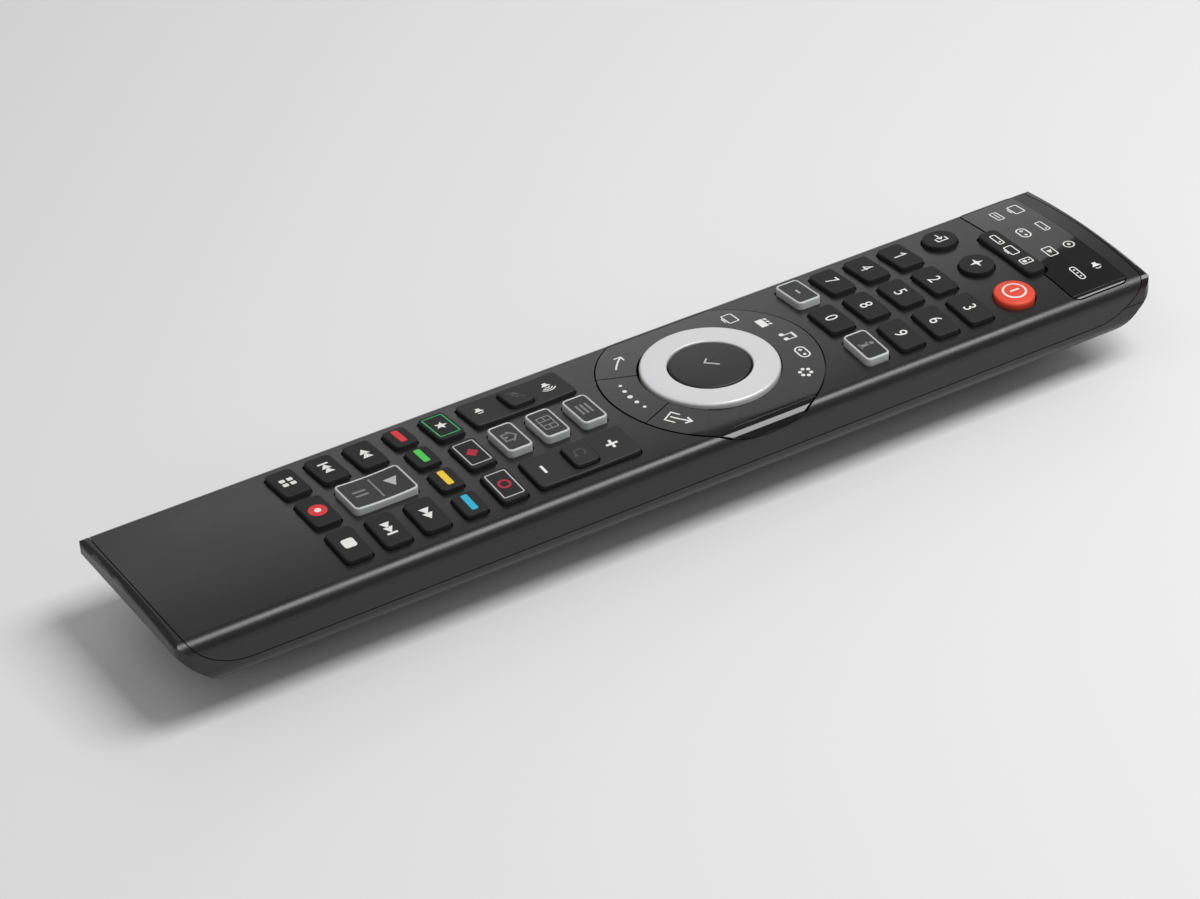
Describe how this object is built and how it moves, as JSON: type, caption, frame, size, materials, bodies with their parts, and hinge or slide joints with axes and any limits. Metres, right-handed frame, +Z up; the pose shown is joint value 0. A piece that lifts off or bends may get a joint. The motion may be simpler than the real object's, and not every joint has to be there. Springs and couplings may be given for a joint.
{
  "type": "universal remote control",
  "caption": "Slim hand-held remote control with sprung keys, rocker keys, a two-way tilting ring in a glossy disc and a sliding battery door under a boat-shaped belly.",
  "frame": {"origin": "on the table under the middle of the body", "axes": "+Y to the infrared end, +X to the right-hand key column, +Z up out of the face"},
  "size_m": [0.0456, 0.2294, 0.0225],
  "materials": {
    "case_black": "satin, fine moulded texture",
    "gloss_black": "polished",
    "window_dark": "polished, tinted",
    "key_rubber": "matt with printed marks",
    "silver_key": "satin silver sides, dark printed top",
    "ring_silver": "satin silver paint",
    "ok_grey": "satin",
    "power_red": "matt",
    "mat_grey": "matt",
    "board_green": "solder mask",
    "chip_black": "matt",
    "lamp_clear": "clear",
    "carrier_black": "matt",
    "cell_wrap": "printed film",
    "contact_steel": "plated",
    "screw_steel": "zinc"
  },
  "bodies": {
    "case": {"top_case": "case_black", "bottom_case": "case_black", "ir_window": "window_dark", "device_plate": "gloss_black", "activity_panel": "gloss_black", "key_mat": "mat_grey", "circuit_board": "board_green", "board_parts": "chip_black", "ir_lamps": "lamp_clear", "left_cell": "cell_wrap", "right_cell": "cell_wrap", "battery_contacts": "contact_steel", "case_screws": "screw_steel"},
    "battery_door": {"battery_door": "case_black"},
    "nav_carrier": {"nav_carrier": "carrier_black"},
    "nav_ring": {"nav_ring": "ring_silver"},
    "volume_rocker": {"volume_rocker": "key_rubber"},
    "channel_rocker": {"channel_rocker": "key_rubber"},
    "play_pause_rocker": {"play_pause_rocker": "silver_key"},
    "ok_key": {"ok_key": "ok_grey"},
    "dash_key": {"dash_key": "silver_key"},
    "info_key": {"info_key": "silver_key"},
    "menu_key": {"menu_key": "silver_key"},
    "guide_key": {"guide_key": "silver_key"},
    "home_key": {"home_key": "silver_key"},
    "digit_1": {"digit_1": "key_rubber"},
    "digit_2": {"digit_2": "key_rubber"},
    "digit_3": {"digit_3": "key_rubber"},
    "digit_4": {"digit_4": "key_rubber"},
    "digit_5": {"digit_5": "key_rubber"},
    "digit_6": {"digit_6": "key_rubber"},
    "digit_7": {"digit_7": "key_rubber"},
    "digit_8": {"digit_8": "key_rubber"},
    "digit_9": {"digit_9": "key_rubber"},
    "digit_0": {"digit_0": "key_rubber"},
    "devices_key": {"devices_key": "key_rubber"},
    "app_key_left": {"app_key_left": "key_rubber"},
    "app_key_middle": {"app_key_middle": "key_rubber"},
    "app_key_right": {"app_key_right": "key_rubber"},
    "red_key": {"red_key": "key_rubber"},
    "green_key": {"green_key": "key_rubber"},
    "yellow_key": {"yellow_key": "key_rubber"},
    "blue_key": {"blue_key": "key_rubber"},
    "rewind_key": {"rewind_key": "key_rubber"},
    "forward_key": {"forward_key": "key_rubber"},
    "previous_key": {"previous_key": "key_rubber"},
    "next_key": {"next_key": "key_rubber"},
    "apps_key": {"apps_key": "key_rubber"},
    "record_key": {"record_key": "key_rubber"},
    "stop_key": {"stop_key": "key_rubber"},
    "mute_key": {"mute_key": "key_rubber"},
    "recall_key": {"recall_key": "key_rubber"},
    "input_key": {"input_key": "key_rubber"},
    "star_key": {"star_key": "key_rubber"},
    "power_key": {"power_key": "power_red"},
    "back_key": {"back_key": "gloss_black"},
    "activity_key": {"activity_key": "gloss_black"},
    "exit_key": {"exit_key": "gloss_black"}
  },
  "joints": [
    {"name": "volume_rocker_tilt", "type": "hinge", "parent": "case", "child": "volume_rocker", "pos_m": [-0.0126, -0.02048, 0.01805], "axis": [1, 0, 0], "range_deg": [-2.8, 2.8], "stiffness_Nm_per_rad": 0.2},
    {"name": "channel_rocker_tilt", "type": "hinge", "parent": "case", "child": "channel_rocker", "pos_m": [0.0126, -0.02048, 0.01805], "axis": [1, 0, 0], "range_deg": [-2.8, 2.8], "stiffness_Nm_per_rad": 0.2},
    {"name": "play_pause_tilt", "type": "hinge", "parent": "case", "child": "play_pause_rocker", "pos_m": [0, -0.05962, 0.01805], "axis": [1, 0, 0], "range_deg": [-3.4, 3.4], "stiffness_Nm_per_rad": 0.1},
    {"name": "ring_tilt_up_down", "type": "hinge", "parent": "case", "child": "nav_carrier", "pos_m": [0, 0.01823, 0.01745], "axis": [1, 0, 0], "range_deg": [-2.2, 2.2], "stiffness_Nm_per_rad": 0.3},
    {"name": "ring_tilt_sideways", "type": "hinge", "parent": "nav_carrier", "child": "nav_ring", "pos_m": [0, 0.01823, 0.01934], "axis": [0, 1, 0], "range_deg": [-2.2, 2.2], "stiffness_Nm_per_rad": 0.3},
    {"name": "battery_door_slide", "type": "slide", "parent": "case", "child": "battery_door", "axis": [0, -1, 0], "range_m": [0, 0.09]},
    {"name": "ok_key_press", "type": "slide", "parent": "case", "child": "ok_key", "axis": [0, 0, -1], "range_m": [0, 0.0006], "stiffness_N_per_m": 800},
    {"name": "dash_key_press", "type": "slide", "parent": "case", "child": "dash_key", "axis": [0, 0, -1], "range_m": [0, 0.0006], "stiffness_N_per_m": 800},
    {"name": "info_key_press", "type": "slide", "parent": "case", "child": "info_key", "axis": [0, 0, -1], "range_m": [0, 0.0006], "stiffness_N_per_m": 800},
    {"name": "menu_key_press", "type": "slide", "parent": "case", "child": "menu_key", "axis": [0, 0, -1], "range_m": [0, 0.0006], "stiffness_N_per_m": 800},
    {"name": "guide_key_press", "type": "slide", "parent": "case", "child": "guide_key", "axis": [0, 0, -1], "range_m": [0, 0.0006], "stiffness_N_per_m": 800},
    {"name": "home_key_press", "type": "slide", "parent": "case", "child": "home_key", "axis": [0, 0, -1], "range_m": [0, 0.0006], "stiffness_N_per_m": 800},
    {"name": "digit_1_press", "type": "slide", "parent": "case", "child": "digit_1", "axis": [0, 0, -1], "range_m": [0, 0.0006], "stiffness_N_per_m": 800},
    {"name": "digit_2_press", "type": "slide", "parent": "case", "child": "digit_2", "axis": [0, 0, -1], "range_m": [0, 0.0006], "stiffness_N_per_m": 800},
    {"name": "digit_3_press", "type": "slide", "parent": "case", "child": "digit_3", "axis": [0, 0, -1], "range_m": [0, 0.0006], "stiffness_N_per_m": 800},
    {"name": "digit_4_press", "type": "slide", "parent": "case", "child": "digit_4", "axis": [0, 0, -1], "range_m": [0, 0.0006], "stiffness_N_per_m": 800},
    {"name": "digit_5_press", "type": "slide", "parent": "case", "child": "digit_5", "axis": [0, 0, -1], "range_m": [0, 0.0006], "stiffness_N_per_m": 800},
    {"name": "digit_6_press", "type": "slide", "parent": "case", "child": "digit_6", "axis": [0, 0, -1], "range_m": [0, 0.0006], "stiffness_N_per_m": 800},
    {"name": "digit_7_press", "type": "slide", "parent": "case", "child": "digit_7", "axis": [0, 0, -1], "range_m": [0, 0.0006], "stiffness_N_per_m": 800},
    {"name": "digit_8_press", "type": "slide", "parent": "case", "child": "digit_8", "axis": [0, 0, -1], "range_m": [0, 0.0006], "stiffness_N_per_m": 800},
    {"name": "digit_9_press", "type": "slide", "parent": "case", "child": "digit_9", "axis": [0, 0, -1], "range_m": [0, 0.0006], "stiffness_N_per_m": 800},
    {"name": "digit_0_press", "type": "slide", "parent": "case", "child": "digit_0", "axis": [0, 0, -1], "range_m": [0, 0.0006], "stiffness_N_per_m": 800},
    {"name": "devices_key_press", "type": "slide", "parent": "case", "child": "devices_key", "axis": [0, 0, -1], "range_m": [0, 0.0006], "stiffness_N_per_m": 800},
    {"name": "app_key_left_press", "type": "slide", "parent": "case", "child": "app_key_left", "axis": [0, 0, -1], "range_m": [0, 0.0006], "stiffness_N_per_m": 800},
    {"name": "app_key_middle_press", "type": "slide", "parent": "case", "child": "app_key_middle", "axis": [0, 0, -1], "range_m": [0, 0.0006], "stiffness_N_per_m": 800},
    {"name": "app_key_right_press", "type": "slide", "parent": "case", "child": "app_key_right", "axis": [0, 0, -1], "range_m": [0, 0.0006], "stiffness_N_per_m": 800},
    {"name": "red_key_press", "type": "slide", "parent": "case", "child": "red_key", "axis": [0, 0, -1], "range_m": [0, 0.0006], "stiffness_N_per_m": 800},
    {"name": "green_key_press", "type": "slide", "parent": "case", "child": "green_key", "axis": [0, 0, -1], "range_m": [0, 0.0006], "stiffness_N_per_m": 800},
    {"name": "yellow_key_press", "type": "slide", "parent": "case", "child": "yellow_key", "axis": [0, 0, -1], "range_m": [0, 0.0006], "stiffness_N_per_m": 800},
    {"name": "blue_key_press", "type": "slide", "parent": "case", "child": "blue_key", "axis": [0, 0, -1], "range_m": [0, 0.0006], "stiffness_N_per_m": 800},
    {"name": "rewind_key_press", "type": "slide", "parent": "case", "child": "rewind_key", "axis": [0, 0, -1], "range_m": [0, 0.0006], "stiffness_N_per_m": 800},
    {"name": "forward_key_press", "type": "slide", "parent": "case", "child": "forward_key", "axis": [0, 0, -1], "range_m": [0, 0.0006], "stiffness_N_per_m": 800},
    {"name": "previous_key_press", "type": "slide", "parent": "case", "child": "previous_key", "axis": [0, 0, -1], "range_m": [0, 0.0006], "stiffness_N_per_m": 800},
    {"name": "next_key_press", "type": "slide", "parent": "case", "child": "next_key", "axis": [0, 0, -1], "range_m": [0, 0.0006], "stiffness_N_per_m": 800},
    {"name": "apps_key_press", "type": "slide", "parent": "case", "child": "apps_key", "axis": [0, 0, -1], "range_m": [0, 0.0006], "stiffness_N_per_m": 800},
    {"name": "record_key_press", "type": "slide", "parent": "case", "child": "record_key", "axis": [0, 0, -1], "range_m": [0, 0.0006], "stiffness_N_per_m": 800},
    {"name": "stop_key_press", "type": "slide", "parent": "case", "child": "stop_key", "axis": [0, 0, -1], "range_m": [0, 0.0006], "stiffness_N_per_m": 800},
    {"name": "mute_key_press", "type": "slide", "parent": "case", "child": "mute_key", "axis": [0, 0, -1], "range_m": [0, 0.0006], "stiffness_N_per_m": 800},
    {"name": "recall_key_press", "type": "slide", "parent": "case", "child": "recall_key", "axis": [0, 0, -1], "range_m": [0, 0.0006], "stiffness_N_per_m": 800},
    {"name": "input_key_press", "type": "slide", "parent": "case", "child": "input_key", "axis": [0, 0, -1], "range_m": [0, 0.0006], "stiffness_N_per_m": 800},
    {"name": "star_key_press", "type": "slide", "parent": "case", "child": "star_key", "axis": [0, 0, -1], "range_m": [0, 0.0006], "stiffness_N_per_m": 800},
    {"name": "power_key_press", "type": "slide", "parent": "case", "child": "power_key", "axis": [0, 0, -1], "range_m": [0, 0.0006], "stiffness_N_per_m": 800},
    {"name": "back_key_press", "type": "slide", "parent": "case", "child": "back_key", "axis": [0, 0, -1], "range_m": [0, 0.0006], "stiffness_N_per_m": 800},
    {"name": "activity_key_press", "type": "slide", "parent": "case", "child": "activity_key", "axis": [0, 0, -1], "range_m": [0, 0.0006], "stiffness_N_per_m": 800},
    {"name": "exit_key_press", "type": "slide", "parent": "case", "child": "exit_key", "axis": [0, 0, -1], "range_m": [0, 0.0006], "stiffness_N_per_m": 800}
  ]
}
